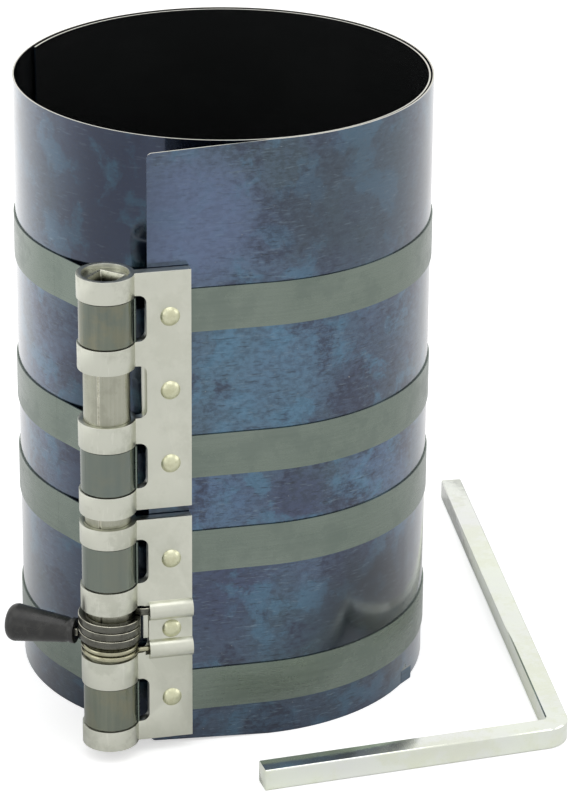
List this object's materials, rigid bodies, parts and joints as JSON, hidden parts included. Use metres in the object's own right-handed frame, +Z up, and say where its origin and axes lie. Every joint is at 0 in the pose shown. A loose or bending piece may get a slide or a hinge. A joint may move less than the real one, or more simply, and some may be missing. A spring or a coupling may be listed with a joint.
{
  "type": "piston ring compressor",
  "caption": "Piston ring compressor: coiled blued-steel sleeve with riveted tension bands, hinge plates, winding shaft, wrap-spring clutch, release lever and loose square key.",
  "frame": {"origin": "On the axis of the sleeve's bore, in the plane of the sleeve's lower edge.", "axes": "+Z runs up the sleeve's axis, -Y points out through the hinge plates, and the winding shaft stands on the -X side of them."},
  "size_m": [0.1691, 0.1732, 0.1778],
  "materials": {
    "blued_sheet": "blued spring steel, mottled blue and violet-grey, fine grain round the sleeve",
    "band_steel": "plain tempered strip, grey-green",
    "roll_steel": "the same strip, wound and oily dark",
    "tube_steel": "plated rolled tube, satin",
    "zinc_plate": "zinc-plated pressed sheet, satin",
    "rivet_zinc": "pale yellow zinc",
    "spring_black": "oil-black spring wire",
    "spring_bright": "bright drawn wire",
    "grip_plastic": "matte black dipped plastic",
    "key_plating": "bright plated square bar"
  },
  "bodies": {
    "compressor": {"sleeve": "blued_sheet", "tension_band_1": "band_steel", "tension_band_2": "band_steel", "tension_band_3": "band_steel", "tension_band_4": "band_steel", "upper_plate": "zinc_plate", "lower_plate": "zinc_plate", "band_rivet_1": "rivet_zinc", "band_rivet_2": "rivet_zinc", "band_rivet_3": "rivet_zinc", "band_rivet_4": "rivet_zinc", "plate_rivet": "rivet_zinc", "anchor_rivet": "rivet_zinc", "clutch_spring": "spring_black", "return_spring": "spring_bright"},
    "shaft": {"winding_shaft": "tube_steel", "band_roll_1": "roll_steel", "band_roll_2": "roll_steel", "band_roll_3": "roll_steel", "band_roll_4": "roll_steel"},
    "lever": {"release_lever": "spring_black", "lever_grip": "grip_plastic"},
    "loose_key": {"key": "key_plating"}
  },
  "joints": [
    {"name": "shaft_turn", "type": "hinge", "parent": "compressor", "child": "shaft", "pos_m": [-0.045, -0.05895, 0.074], "axis": [0, 0, -1], "range_deg": [-720, 540]},
    {"name": "lever_press", "type": "hinge", "parent": "compressor", "child": "lever", "pos_m": [-0.045, -0.05895, 0.0364], "axis": [0, 0, -1], "range_deg": [0, 30], "stiffness_Nm_per_rad": 0.2, "deforming": ["clutch_spring", "return_spring"]},
    {"name": "key_lift", "type": "slide", "parent": "compressor", "child": "loose_key", "axis": [0, 0, 1], "range_m": [0, 0.2]}
  ]
}
